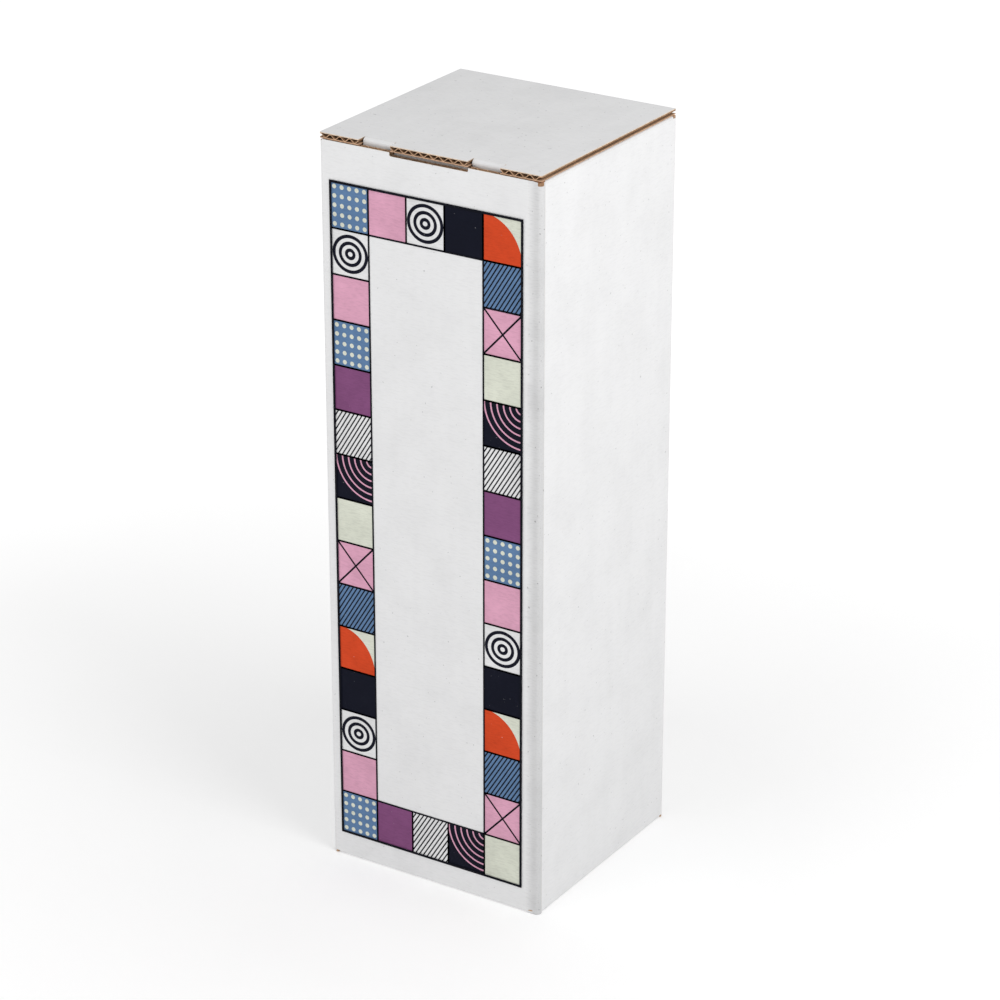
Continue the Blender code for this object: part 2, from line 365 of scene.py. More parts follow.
def one_flute():
    bpy.ops.object.select_all(action="DESELECT")
    bpy.ops.mesh.primitive_grid_add(x_subdivisions=FLUTE_STEPS, y_subdivisions=1, size=1)
    flute = bpy.context.active_object
    flute.name = "one_flute"
    flute.scale = (FLUTE_PITCH, 1, 1)
    flute.location = (FLUTE_PITCH / 2, 0, 0)
    settle(flute)
    wave_height = HALF - LINER - MEDIUM / 2
    edit(flute)
    for step in range(FLUTE_STEPS + 1):
        at = FLUTE_PITCH * step / FLUTE_STEPS
        swing = math.cos(2 * math.pi * step / FLUTE_STEPS)
        lift = wave_height * math.copysign(abs(swing) ** CREST, swing)
        pick("VERT", lambda place, normal: abs(place.x - at) < FLUTE_PITCH / (4 * FLUTE_STEPS))
        bpy.ops.transform.translate(value=(0, 0, lift))
    done()
    return flute


flute = one_flute()
print("one flute", [round(side * 1000, 2) for side in flute.dimensions], "mm")


# %% A fluted sheet
def fluted_sheet(left, right, near, far):
    """A fluted sheet that covers the rectangle, with a crest on the middle line."""
    sheet = copy_of(flute, "fluted_sheet")
    count = math.ceil(max(-left, right) / FLUTE_PITCH) + 1
    sheet.scale = (1, far - near + 4 * SPARE, 1)
    sheet.location = (-count * FLUTE_PITCH, (near + far) / 2, 0)
    settle(sheet)
    apply_modifier(
        sheet, "ARRAY", count=2 * count, use_relative_offset=False, use_constant_offset=True,
        constant_offset_displace=(FLUTE_PITCH, 0, 0), use_merge_vertices=True,
        merge_threshold=SAME,
    )
    apply_modifier(sheet, "SOLIDIFY", thickness=MEDIUM, offset=0, use_even_offset=True)
    return sheet


# %% [markdown]
# ## Cutting a blank
# A blank starts as a plane on the bench. Its X runs across the flutes and its Y along
# them, away from the crease. Corners are trimmed with bisect, notches are cut out, and
# corners are rounded with a bevel of the vertices, which is what a cutting die does.


# %% Cut a blank
def plane(wide, long, place, tilt=0.0):
    bpy.ops.object.select_all(action="DESELECT")
    bpy.ops.mesh.primitive_plane_add(size=1, location=place, rotation=(tilt, 0, 0))
    sheet = bpy.context.active_object
    sheet.scale = (wide, long, 1)
    settle(sheet)
    return sheet


def blank(left, right, near, far):
    return plane(right - left, far - near, ((left + right) / 2, (near + far) / 2, 0))


def trim(sheet, first, second):
    """Cuts off what lies to the right of the line from first to second."""
    along = Vector((second[0] - first[0], second[1] - first[1], 0))
    edit(sheet)
    bpy.ops.mesh.bisect(plane_co=(*first, 0), plane_no=along.cross(Z), clear_outer=True)
    done()


def cut_out(sheet, left, right, near, far):
    """Cuts a rectangle out of the sheet."""
    edit(sheet)
    cuts = ((left, 0, 0), X), ((right, 0, 0), X), ((0, near, 0), Y), ((0, far, 0), Y)
    for place, direction in cuts:
        bpy.ops.mesh.select_all(action="SELECT")
        bpy.ops.mesh.bisect(plane_co=place, plane_no=direction)
    pick("FACE", lambda place, normal: left < place.x < right and near < place.y < far)
    bpy.ops.mesh.delete(type="FACE")
    bpy.ops.mesh.select_all(action="SELECT")
    bpy.ops.mesh.dissolve_limited(angle_limit=0.001)
    done()


def round_off(sheet, corners, radius, steps=5):
    edit(sheet)
    corners = [Vector(corner) for corner in corners]
    pick("VERT", lambda place, normal: any((place.xy - c).length < 2 * CLOSE for c in corners))
    bpy.ops.mesh.bevel(offset=radius, segments=steps, affect="VERTICES")
    done()


def thick(sheet, name, bottom, top):
    """A copy of the flat sheet, raised to bottom and thickened to top."""
    plate = copy_of(sheet, name)
    plate.location.z = bottom
    settle(plate)
    edit(plate)
    bpy.ops.mesh.extrude_region_move(TRANSFORM_OT_translate={"value": (0, 0, top - bottom)})
    bpy.ops.mesh.select_all(action="SELECT")
    bpy.ops.mesh.normals_make_consistent(inside=False)
    done()
    return plate


# %% [markdown]
# ## From a blank to a board
# The white liner lies on top, the kraft liner below. The fluted sheet is cut to the
# blank's outline with a Boolean, so that the cut edge shows the real waves where it
# crosses the flutes, and a groove where it runs along them. A face gets its paper by
# where it points: the broad faces are liner, and the narrow ones are cut edge.


# %% Paint by direction
def paint(thing, material, test):
    """Gives a material to the faces whose middle and normal pass the test."""
    if material.name not in thing.data.materials:
        thing.data.materials.append(material)
    index = thing.data.materials.find(material.name)
    for face in thing.data.polygons:
        if test(face.center, face.normal):
            face.material_index = index


def everywhere(place, normal):
    return True


# %% Make a board
CORE_OVERLAP = 0.2  # how deep the flutes' paper sinks into each liner, in its own thickness


def make_board(sheet, white, kraft, reach=()):
    """Two liners and the flutes between them, white side up, from a flat outline.

    reach lists (from, to) pairs in Y: edges of the white liner that go on to a fold line.
    """
    top = thick(sheet, "white_liner", HALF - LINER, HALF)
    for start, end in reach:
        edit(top)
        pick("VERT", lambda place, normal: abs(place.y - start) < SAME)
        bpy.ops.transform.translate(value=(0, end - start, 0))
        done()
    paint(top, white, everywhere)
    paint(top, cut_white, lambda place, normal: abs(normal.z) < 0.5)
    bottom = thick(sheet, "kraft_liner", -HALF, LINER - HALF)
    paint(bottom, kraft, everywhere)
    paint(bottom, cut_kraft, lambda place, normal: abs(normal.z) < 0.5)
    overlap = MEDIUM * CORE_OVERLAP
    core = thick(sheet, "core", LINER - HALF - overlap, HALF - LINER + overlap)
    xs = [corner[0] for corner in sheet.bound_box]
    ys = [corner[1] for corner in sheet.bound_box]
    flutes = fluted_sheet(min(xs), max(xs), min(ys), max(ys))
    apply_modifier(flutes, "BOOLEAN", operation="INTERSECT", solver="EXACT", object=core)
    # The flute faces carry painted shade: their paper is darkened for the shade inside the board.
    paint(flutes, flute_paper_painted_shade, everywhere)
    paint(flutes, cut_flute, lambda place, normal: abs(normal.y) > 0.9)
    remove(core)
    remove(sheet)
    return join("board", [top, bottom, flutes])


def fold_up(board, name, body, crease_at, along, outward):
    """Stands a flat board in its place: along is where its Y goes, outward its white side."""
    along, outward = Vector(along).normalized(), Vector(outward).normalized()
    across = along.cross(outward)
    turn = Matrix((across, along, outward)).transposed().to_4x4()
    board.matrix_world = Matrix.Translation(Vector(crease_at)) @ turn
    settle(board)
    board.name = name + "_board"
    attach(board, body)
    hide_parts(name)
    print(board.name, len(board.data.polygons), "faces")


# %% [markdown]
# ## Walls
# The four walls have upright flutes. The front one has the finger notch in its top
# edge. Their white liners reach past the slab up to the fold line, where the rounded
# fold takes over, so that no slit shows.

# %% Places of the folds
front_low, front_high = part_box("front_panel")
lid_low, lid_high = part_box("lid_panel")
FRONT_FOLD_Y = low.y + HALF
BACK_FOLD_Y = high.y - HALF
SIDE_FOLD_X = high.x - HALF
LID_FOLD_Z = high.z - HALF
DUST_FOLD_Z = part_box("left_dust_crease")[1].z - HALF
BASE_FOLD_Z = low.z + HALF
PRESSED_BAND = 0.0045
BAND_EDGE_X = SIDE_FOLD_X - PRESSED_BAND + HALF
fold_lines = BACK_FOLD_Y, SIDE_FOLD_X, LID_FOLD_Z, DUST_FOLD_Z, BASE_FOLD_Z
print("fold lines", [round(line * 1000, 1) for line in fold_lines])

# %% Front panel
NOTCH_HALF = 0.01385
NOTCH_DEPTH = 0.0012
NOTCH_RADIUS = 0.0005
sheet = blank(-SIDE_FOLD_X, BAND_EDGE_X, front_low.z, front_high.z)
notch_floor = front_high.z - NOTCH_DEPTH
cut_out(sheet, -NOTCH_HALF, NOTCH_HALF, notch_floor, front_high.z + SPARE)
round_off(sheet, [(-NOTCH_HALF, notch_floor), (NOTCH_HALF, notch_floor)], NOTCH_RADIUS)
fold_up(
    make_board(sheet, white_x, kraft_x, [(front_low.z, BASE_FOLD_Z)]), "front_panel", "sleeve",
    (0, FRONT_FOLD_Y, 0), Z, -Y,
)

# %% Back and side panels
back_low, back_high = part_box("back_panel")
glue_fold_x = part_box("glue_crease")[0].x + HALF
sheet = blank(-SIDE_FOLD_X, -glue_fold_x, back_low.z, back_high.z)
reach = [(back_low.z, BASE_FOLD_Z)]
fold_up(
    make_board(sheet, white_x, kraft_x, reach), "back_panel", "sleeve",
    (0, BACK_FOLD_Y, 0), Z, Y,
)
right_low, right_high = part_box("right_panel")
reach = [(right_low.z, BASE_FOLD_Z), (right_high.z, DUST_FOLD_Z)]
sheet = blank(right_low.y, BACK_FOLD_Y, right_low.z, right_high.z)
fold_up(
    make_board(sheet, white_y, kraft_y, reach), "right_panel", "sleeve",
    (SIDE_FOLD_X, 0, 0), Z, X,
)
left_low, left_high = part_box("left_panel")
sheet = blank(-left_high.y, -FRONT_FOLD_Y, left_low.z, left_high.z)
fold_up(
    make_board(sheet, white_y, kraft_y, reach), "left_panel", "sleeve",
    (-SIDE_FOLD_X, 0, 0), Z, -X,
)

# %% Glue flap
glue_low, glue_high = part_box("glue_flap")
GLUE_TAPER = 0.006
sheet = blank(-glue_high.y, -glue_low.y, glue_low.z, glue_high.z)
trim(sheet, (-glue_high.y, glue_low.z), (-glue_low.y, glue_low.z + GLUE_TAPER))
trim(sheet, (-glue_low.y, glue_high.z - GLUE_TAPER), (-glue_high.y, glue_high.z))
fold_up(
    make_board(sheet, kraft_y, kraft_y), "glue_flap", "sleeve",
    ((glue_low.x + glue_high.x) / 2, 0, 0), Z, -X,
)

# %% [markdown]
# ## Lid
# Its flutes run from front to back, so the lips and the finger tab at the front are cut
# across them and show the waves. Between them the lid isn't cut: it rolls down into the
# tuck flap, so the flat part stops where the roll starts.

# %% Lid panel
TAB_HALF = 0.01355
LIP_INNER = 0.0249
LIP_RADIUS = 0.0006
ROLL_START = 0.00347
ROLL_END = 0.00047
lid_length = BACK_FOLD_Y - lid_low.y
sheet = blank(lid_low.x, lid_high.x, 0, lid_length)
for side in (-1, 1):
    left, right = sorted((side * TAB_HALF, side * LIP_INNER))
    cut_out(sheet, left, right, lid_length - ROLL_START, lid_length + SPARE)
round_off(sheet, [(lid_low.x, lid_length), (lid_high.x, lid_length)], LIP_RADIUS, 2)
fold_up(
    make_board(sheet, white_x, kraft_x), "lid_panel", "lid",
    (0, BACK_FOLD_Y, LID_FOLD_Z), -Y, Z,
)

# %% [markdown]
# The tuck flap slides in behind the front panel. Its root under the tab is where the
# tab was cut out of it, and a die crushes the flutes along such a cut, so the board is
# pressed to less than its thickness there. That also leaves room for it to swing under
# the tab when the flap unfolds. Resize with a centre on the kraft side presses it.

# %% Tuck flap
TUCK_LEAN = math.radians(9)
TUCK_HALF = 0.0246
TUCK_LENGTH = 0.0140
TUCK_RADIUS = 0.006
TUCK_ROOT = 0.0012
TUCK_NOTCH = 0.0021
CRUSHED = 0.70
CRUSHED_REACH = 0.0012


def at_notch(place, normal):
    return abs(place.y - TUCK_NOTCH) < CLOSE and abs(place.x) < NOTCH_HALF + CLOSE


tuck_fold = Vector((0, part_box("left_tuck_crease")[0].y + HALF, LID_FOLD_Z))
sheet = blank(-TUCK_HALF, TUCK_HALF, TUCK_ROOT, TUCK_LENGTH)
cut_out(sheet, -NOTCH_HALF, NOTCH_HALF, TUCK_ROOT - SPARE, TUCK_NOTCH)
round_off(sheet, [(-TUCK_HALF, TUCK_LENGTH), (TUCK_HALF, TUCK_LENGTH)], TUCK_RADIUS)
edit(sheet)
bpy.ops.mesh.bisect(plane_co=(0, TUCK_NOTCH + CRUSHED_REACH, 0), plane_no=Y)
done()
tuck_board = make_board(sheet, white_x, kraft_x, [(TUCK_ROOT, ROLL_END)])
edit(tuck_board)
pick("VERT", at_notch)
bpy.ops.transform.resize(value=(1, 1, CRUSHED), center_override=(0, 0, -HALF))
done()
tuck_down = Vector((0, math.sin(TUCK_LEAN), -math.cos(TUCK_LEAN)))
tuck_out = Vector((0, -math.cos(TUCK_LEAN), -math.sin(TUCK_LEAN)))
fold_up(tuck_board, "tuck_flap", "tuck", tuck_fold, tuck_down, tuck_out)

# %% Dust flaps
DUST_RADIUS = 0.004
DUST_TAPER = 0.013
for side, name in ((-1, "left_dust"), (1, "right_dust")):
    flap_low, flap_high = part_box(name + "_flap")
    length = SIDE_FOLD_X - min(abs(flap_low.x), abs(flap_high.x))
    start = SIDE_FOLD_X - max(abs(flap_low.x), abs(flap_high.x))
    front, back = side * flap_low.y, side * flap_high.y
    back_tip = back - side * DUST_TAPER
    sheet = blank(min(front, back), max(front, back), start, length)
    if side == 1:
        trim(sheet, (back, start), (back_tip, length))
    else:
        trim(sheet, (back_tip, length), (back, start))
    round_off(sheet, [(front, length), (back_tip, length)], DUST_RADIUS)
    fold_up(
        make_board(sheet, white_y, kraft_y, [(start, 0)]), name + "_flap", name,
        (side * SIDE_FOLD_X, 0, DUST_FOLD_Z), (-side, 0, 0), Z,
    )

# %% [markdown]
# ## Snap-lock bottom
# The front flap has a tongue that drops into the back flap's slot. The side flaps rise
# over both, so they lie at a small slope inside. A stepped blank grows from its crease:
# its far edge is extruded and scaled to the next width.


# %% Grow a blank
def grow(sheet, to, half_width):
    """Extrudes the blank's far edge to a new length and a new half width."""
    far = max(corner[1] for corner in sheet.bound_box)
    was = max(abs(v.co.x) for v in sheet.data.vertices if abs(v.co.y - far) < SAME)
    edit(sheet)
    pick("EDGE", lambda place, normal: abs(place.y - far) < SAME)
    bpy.ops.mesh.extrude_edges_move(TRANSFORM_OT_translate={"value": (0, to - far, 0)})
    bpy.ops.transform.resize(value=(half_width / was, 1, 1), center_override=(0, 0, 0))
    done()


# %% Front and back bottom flaps
CLEAR = 0.0012
SHOULDER = 0.01524
SHOULDER_HALF = 0.02236
TONGUE_HALF = 0.0150
SLOT_HALF = 0.0153
SLOT_DEPTH = 0.0120
TONGUE_RADIUS = 0.005
TONGUE_SPARE = 0.0003
FLAP_LENGTH = 0.0378
MITRE_GAP = 0.0005
root_half = SIDE_FOLD_X - CLEAR - MITRE_GAP


def main_bottom_blank():
    sheet = blank(-root_half, root_half, CLEAR, CLEAR + CLOSE)
    grow(sheet, SHOULDER, SHOULDER_HALF)
    grow(sheet, FLAP_LENGTH, SHOULDER_HALF)
    return sheet


sheet = main_bottom_blank()
tongue_end = FLAP_LENGTH + SLOT_DEPTH + TONGUE_SPARE
grow(sheet, tongue_end, SHOULDER_HALF)
for side in (-1, 1):
    left, right = sorted((side * TONGUE_HALF, side * (SHOULDER_HALF + SPARE)))
    cut_out(sheet, left, right, FLAP_LENGTH, tongue_end + SPARE)
round_off(sheet, [(-TONGUE_HALF, tongue_end), (TONGUE_HALF, tongue_end)], TONGUE_RADIUS)
fold_up(
    make_board(sheet, white_x, kraft_x, [(CLEAR, 0)]), "front_bottom_flap", "front_bottom",
    (0, FRONT_FOLD_Y, BASE_FOLD_Z), Y, -Z,
)
sheet = main_bottom_blank()
cut_out(sheet, -SLOT_HALF, SLOT_HALF, FLAP_LENGTH - SLOT_DEPTH, FLAP_LENGTH + SPARE)
fold_up(
    make_board(sheet, white_x, kraft_x, [(CLEAR, 0)]), "back_bottom_flap", "back_bottom",
    (0, BACK_FOLD_Y, BASE_FOLD_Z), -Y, -Z,
)

# %% Side bottom flaps
SIDE_FLAP_LENGTH = 0.026
SIDE_FLAP_SLOPE = math.radians(8)
SIDE_FLAP_RADIUS = 0.004
for side, name in ((-1, "left_bottom"), (1, "right_bottom")):
    tip_half = SIDE_FOLD_X - SIDE_FLAP_LENGTH - MITRE_GAP
    sheet = blank(-root_half, root_half, CLEAR, CLEAR + CLOSE)
    grow(sheet, SIDE_FLAP_LENGTH, tip_half)
    tips = [(-tip_half, SIDE_FLAP_LENGTH), (tip_half, SIDE_FLAP_LENGTH)]
    round_off(sheet, tips, SIDE_FLAP_RADIUS)
    inward = Vector((-side * math.cos(SIDE_FLAP_SLOPE), 0, math.sin(SIDE_FLAP_SLOPE)))
    down = Vector((-side * math.sin(SIDE_FLAP_SLOPE), 0, -math.cos(SIDE_FLAP_SLOPE)))
    fold_up(
        make_board(sheet, white_y, kraft_y, [(CLEAR, 0)]), name + "_flap", name,
        (side * SIDE_FOLD_X, 0, BASE_FOLD_Z), inward, down,
    )

# %% [markdown]
# ## Folds
# Where the board is creased, its flutes are crushed and the paper turns a tight corner.
# Most folds here are seen from outside as a thin rounded edge, so each is a bar of the
# board's own thickness about the fold line: white on the outside quarter, kraft on the
# rest. A bar looks right at every angle of the flap, because it is round. Rings of
# vertices along it let a Displace modifier wrinkle it a little, as pressed paper is.

# %% Rounded folds
WRINKLE = bpy.data.textures.new("wrinkles", "CLOUDS")
WRINKLE.noise_scale = 0.0035
WRINKLE_DEPTH = 0.00005
RING_SPACING = 0.0012


def fold_bar(name, body, start, end, outward, white, tip):
    """A rounded fold from start to end; outward lists the two white faces that it joins."""
    start, end = Vector(start), Vector(end)
    along = (end - start).normalized()
    length = (end - start).length
    bpy.ops.object.select_all(action="DESELECT")
    bpy.ops.mesh.primitive_cylinder_add(
        vertices=32, radius=HALF - SUNK, depth=length, end_fill_type="NGON"
    )
    bar = bpy.context.active_object
    edit(bar)
    pick("FACE", lambda place, normal: abs(normal.z) > 0.9)
    bpy.ops.mesh.bevel(offset=CLOSE, segments=2)
    pick("EDGE", lambda place, normal: abs(place.z) < SAME)
    bpy.ops.mesh.subdivide(number_cuts=int(length / RING_SPACING))
    done()
    bar.rotation_mode = "QUATERNION"
    bar.rotation_quaternion = along.to_track_quat("Z", "Y")
    bar.location = (start + end) / 2
    settle(bar)
    paint(bar, kraft_x, everywhere)
    paint(bar, white, lambda place, normal: all(normal.dot(Vector(way)) > -0.09 for way in outward))
    paint(bar, tip, lambda place, normal: abs(normal.dot(along)) > 0.5)
    apply_modifier(
        bar, "DISPLACE", texture=WRINKLE, texture_coords="LOCAL", strength=WRINKLE_DEPTH,
        mid_level=0.9,
    )
    smooth(bar, 40)
    bar.name = name + "_fold"
    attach(bar, body)
    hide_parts(name)
    print(bar.name, len(bar.data.polygons), "faces")


def fold_ends(name):
    """The ends of a CAD crease's middle line, from its box."""
    box_low, box_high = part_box(name)
    middle = (box_low + box_high) / 2
    reach = (box_high - box_low) / 2
    longest = max(range(3), key=lambda axis: reach[axis])
    away = Vector([reach[axis] if axis == longest else 0 for axis in range(3)])
    return middle - away, middle + away


FOLDS = {
    "lid_crease": ("lid", (Y, Z)),
    "left_dust_crease": ("left_dust", (-X, Z)),
    "right_dust_crease": ("right_dust", (X, Z)),
    "front_bottom_crease": ("front_bottom", (-Y, -Z)),
    "back_bottom_crease": ("back_bottom", (Y, -Z)),
    "left_bottom_crease": ("left_bottom", (-X, -Z)),
    "right_bottom_crease": ("right_bottom", (X, -Z)),
    "front_left_crease": ("sleeve", (-X, -Y)),
    "back_right_crease": ("sleeve", (X, Y)),
    "glue_crease": ("sleeve", (-X, Y)),
}
for name, (body, outward) in FOLDS.items():
    start, end = fold_ends(name)
    fold_bar(name, body, start, end, outward, white_x, white_x if "bottom" in name else cut_kraft)

# %% [markdown]
# ## The pressed corner
# The front right corner was creased on the press in a wider band: the front face dips a
# little towards it, and the paper there is painted with shade, darker towards the corner.
# It is a strip that starts flush with the front face, sinks, turns round the corner with
# spin, and is thickened inwards.
# Its top end was cut through the flutes, so it ends in a rounded brown tip, given the darker flute
# paper with its painted shade.

# %% Pressed corner
CORNER_RADIUS = 0.00135
CORNER_SINK = 0.00014
CORNER_TIP = 0.0009
CORNER_DROP = 0.0002
FLUSH_WIDTH = 0.0006
DIP_WIDTH = 0.0010
LAP = 0.00005


def pressed_corner():
    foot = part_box("front_right_crease")[0].z
    height = front_high.z - foot
    begin_x = BAND_EDGE_X - LAP
    turn_x, turn_y = high.x - CORNER_RADIUS, low.y + CORNER_SINK + CORNER_RADIUS
    middle = (begin_x + FLUSH_WIDTH / 2, low.y + SUNK, foot + height / 2)
    strip = plane(FLUSH_WIDTH, height, middle, math.pi / 2)
    edit(strip)
    pick("EDGE", lambda place, normal: place.x > begin_x + FLUSH_WIDTH - CLOSE)
    rest = turn_x - begin_x - FLUSH_WIDTH - DIP_WIDTH
    for run, sink in ((DIP_WIDTH, 0.8 * CORNER_SINK), (rest, 0.2 * CORNER_SINK)):
        bpy.ops.mesh.extrude_edges_move(TRANSFORM_OT_translate={"value": (run, sink, 0)})
    bpy.ops.mesh.spin(steps=10, angle=-math.pi / 2, center=(turn_x, turn_y, 0), axis=(0, 0, 1))
    side_run = right_low.y - turn_y + CLOSE
    bpy.ops.mesh.extrude_edges_move(TRANSFORM_OT_translate={"value": (-SUNK, side_run, 0)})
    weld()
    bpy.ops.mesh.select_all(action="SELECT")
    bpy.ops.mesh.bisect(plane_co=(0, 0, front_high.z - CORNER_TIP), plane_no=Z)
    edge = Vector((high.x, low.y))
    for reach in (0.0022, 0.0013):
        pick("VERT", lambda place, normal: place.z > front_high.z - 0.002
             and (place.xy - edge).length < reach)
        bpy.ops.transform.translate(value=(0, 0, -CORNER_DROP))
    done()
    return strip


def paint_corner_shade(material, begin_x, wide, tone):
    """Paints shade into a paper, softly darker from begin_x on towards the corner."""
    nodes, links = material.node_tree.nodes, material.node_tree.links
    base = nodes["Principled BSDF"].inputs["Base Color"]
    colour = base.links[0].from_socket
    parts = nodes.new("ShaderNodeSeparateXYZ")
    links.new(nodes["Texture Coordinate"].outputs["Object"], parts.inputs[0])
    corner_falloff = nodes.new("ShaderNodeMapRange")
    corner_falloff.inputs["From Min"].default_value = begin_x
    corner_falloff.inputs["From Max"].default_value = begin_x + wide
    links.new(parts.outputs["X"], corner_falloff.inputs["Value"])
    shade = ramp(nodes, links, corner_falloff.outputs["Result"], [(0, grey(1.0)), (1, grey(tone))])
    links.new(mix(nodes, links, "MULTIPLY", 1.0, colour, shade), base)


STRIP_THICK = 0.0012
CORNER_SHADE_WIDTH, CORNER_SHADE_TONE = 0.0022, 0.82
TIP_INSET, TIP_REACH = 0.0003, 0.0014
# Painted shade: the corner band's white paper darkens from the band's edge towards the corner,
# where the light falls off.
paint_corner_shade(corner_white_painted_shade, BAND_EDGE_X, CORNER_SHADE_WIDTH, CORNER_SHADE_TONE)
strip = pressed_corner()
face_towards(strip, -Y)
apply_modifier(strip, "SOLIDIFY", thickness=STRIP_THICK, offset=-1)
paint(strip, kraft_x, everywhere)
paint(strip, corner_white_painted_shade, lambda place, normal: normal.x > 0.02 or normal.y < -0.5)
corner = Vector((high.x - TIP_INSET, low.y + TIP_INSET))
paint(strip, cut_kraft, lambda place, normal: abs(normal.z) > 0.5)
# Painted shade: the tip's side faces get the darkened flute paper.
paint(strip, flute_paper_painted_shade, lambda place, normal: abs(normal.z) <= 0.5
      and place.z > front_high.z - CORNER_TIP and (place.xy - corner).length < TIP_REACH)
smooth(strip, 30)
strip.name = "front_right_crease_fold"
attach(strip, "sleeve")
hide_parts("front_right_crease")
print(strip.name, len(strip.data.polygons), "faces")

# %% [markdown]
# ## Where the lid rolls into the tuck flap
# Beside the tab the lid isn't cut. Each is three layers spun about the same line:
# the white liner, a narrower core painted dark for the shade in the flute gaps, and the
# kraft liner.

# %% Roll
ROLL_RADIUS = 0.0013
ROLL_THICK = 0.0012
ROLL_LEAD = 0.0004
CORE_INSET = 0.0005
roll_start_y = lid_low.y + ROLL_START
roll_angle = math.pi / 2 + TUCK_LEAN


def roll_layer(name, left, right, depth, thickness):
    """One paper of the bent board: depth is how far below the top face its outside lies."""
    middle = ((left + right) / 2, roll_start_y + ROLL_LEAD / 2, high.z - depth - SUNK)
    layer = plane(right - left, ROLL_LEAD, middle)
    layer.name = name
    edit(layer)
    pick("EDGE", lambda place, normal: place.y < roll_start_y + CLOSE)
    bpy.ops.mesh.spin(
        steps=14, angle=-roll_angle, center=(0, roll_start_y, high.z - ROLL_RADIUS), axis=(1, 0, 0)
    )
    weld()
    done()
    face_towards(layer, Z)
    apply_modifier(layer, "SOLIDIFY", thickness=thickness, offset=-1)
    return layer


for side, name in ((-1, "left_tuck_crease"), (1, "right_tuck_crease")):
    left, right = sorted((side * NOTCH_HALF, side * TUCK_HALF))
    skin = roll_layer("skin", left, right, 0, LINER)
    paint(skin, white_x, everywhere)
    paint(skin, cut_white, lambda place, normal: abs(normal.x) > 0.5)
    inner = left + CORE_INSET, right - CORE_INSET
    core = roll_layer("roll_core", *inner, LINER, ROLL_THICK - 2 * LINER)
    # Painted shade: the core is a dark sheet where the flute gaps are in shade.
    paint(core, flute_paper_painted_shade, everywhere)
    lining = roll_layer("lining", left, right, ROLL_THICK - LINER, LINER)
    paint(lining, kraft_x, everywhere)
    paint(lining, cut_kraft, lambda place, normal: abs(normal.x) > 0.5)
    roll = join(name + "_roll", [skin, core, lining])
    smooth(roll, 30)
    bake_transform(roll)
    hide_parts(name)
    print(roll.name, [round(side * 1000, 2) for side in roll.dimensions], "mm")

# %% [markdown]
# ## Printed front
# The print is flat ink on the white liner: a border of plain geometric tiles round an
# open centre, inside a black frame. Ink could be painted with nodes, but shapes with
# hard edges stay crisp as geometry, so each is a very thin plate. A tile's place is
# given in modules of the printed area, columns from the left and rows from the top.
# Shapes of one colour become one piece, so a colour has one mesh and one material.

# %% The printed area
COLUMNS, ROWS = 10, 30
LEFT_MARGIN, RIGHT_MARGIN = 0.0038, 0.0064
TOP_MARGIN, BOTTOM_MARGIN = 0.0125, 0.0088
INK_TONES = {
    "blue": (0.118, 0.212, 0.375), "pink": (0.70, 0.36, 0.49), "navy": (0.0055, 0.0065, 0.015),
    "cream": (0.69, 0.71, 0.61), "orange": (0.64, 0.065, 0.018), "plum": (0.22, 0.075, 0.19),
    "white": (0.78, 0.78, 0.785), "black": (0.004, 0.0045, 0.009),
}
print_left, print_right = low.x + LEFT_MARGIN, high.x - RIGHT_MARGIN
print_top, print_bottom = front_high.z - TOP_MARGIN, low.z + BOTTOM_MARGIN
column, row = (print_right - print_left) / COLUMNS, (print_top - print_bottom) / ROWS
ink = {name: [] for name in INK_TONES}
print("module", round(column * 1000, 2), "x", round(row * 1000, 2), "mm")


def area(c0, r0, c1, r1):
    """Left, right, bottom and top of a rectangle of modules, flat on the bench."""
    left, right = print_left + c0 * column, print_left + c1 * column
    return left, right, print_top - r1 * row, print_top - r0 * row


# %% [markdown]
# Every motif starts from a plane or a disc of the right size. Rings and frames are
# inset, and their middle is deleted. What must stay inside a tile is clipped with
# bisect along the tile's four sides. Ink lies in layers, motifs over the tiles' colour
# and lines over both, a hair apart so that no two faces share a plane.


# %% Ink shapes
INK_STEP = 0.00003
INK_THICK = 0.00002
MOTIF_LAYER, LINE_LAYER, FRAME_LAYER = 1, 3, 8
LINE = 0.00058
FRAME_LINE = 0.0008


def lay(colour, shape, layer=MOTIF_LAYER):
    """Keeps a flat shape as ink; a higher layer lies over a lower one."""
    shape.location.z = layer * INK_STEP
    settle(shape)
    ink[colour].append(shape)


def clip(shape, left, right, bottom, top):
    edit(shape)
    sides = ((left, 0, 0), -X), ((right, 0, 0), X), ((0, bottom, 0), -Y), ((0, top, 0), Y)
    for place, direction in sides:
        bpy.ops.mesh.select_all(action="SELECT")
        bpy.ops.mesh.bisect(plane_co=place, plane_no=direction, clear_outer=True)
    done()
    return shape


def disc(middle, radius_x, radius_y, corners):
    bpy.ops.object.select_all(action="DESELECT")
    bpy.ops.mesh.primitive_circle_add(vertices=corners, radius=1, fill_type="NGON")
    shape = bpy.context.active_object
    shape.scale = (radius_x, radius_y, 1)
    shape.location = (*middle, 0)
    settle(shape)
    return shape


def hollow(shape, width):
    """Leaves only a rim of this width."""
    edit(shape)
    bpy.ops.mesh.select_mode(type="FACE")
    bpy.ops.mesh.select_all(action="SELECT")
    bpy.ops.mesh.inset(thickness=width)
    bpy.ops.mesh.delete(type="FACE")
    done()
    return shape


def frame_line(left, right, bottom, top, layer, width):
    half = width / 2
    shape = blank(left - half, right + half, bottom - half, top + half)
    lay("black", hollow(shape, width), layer)


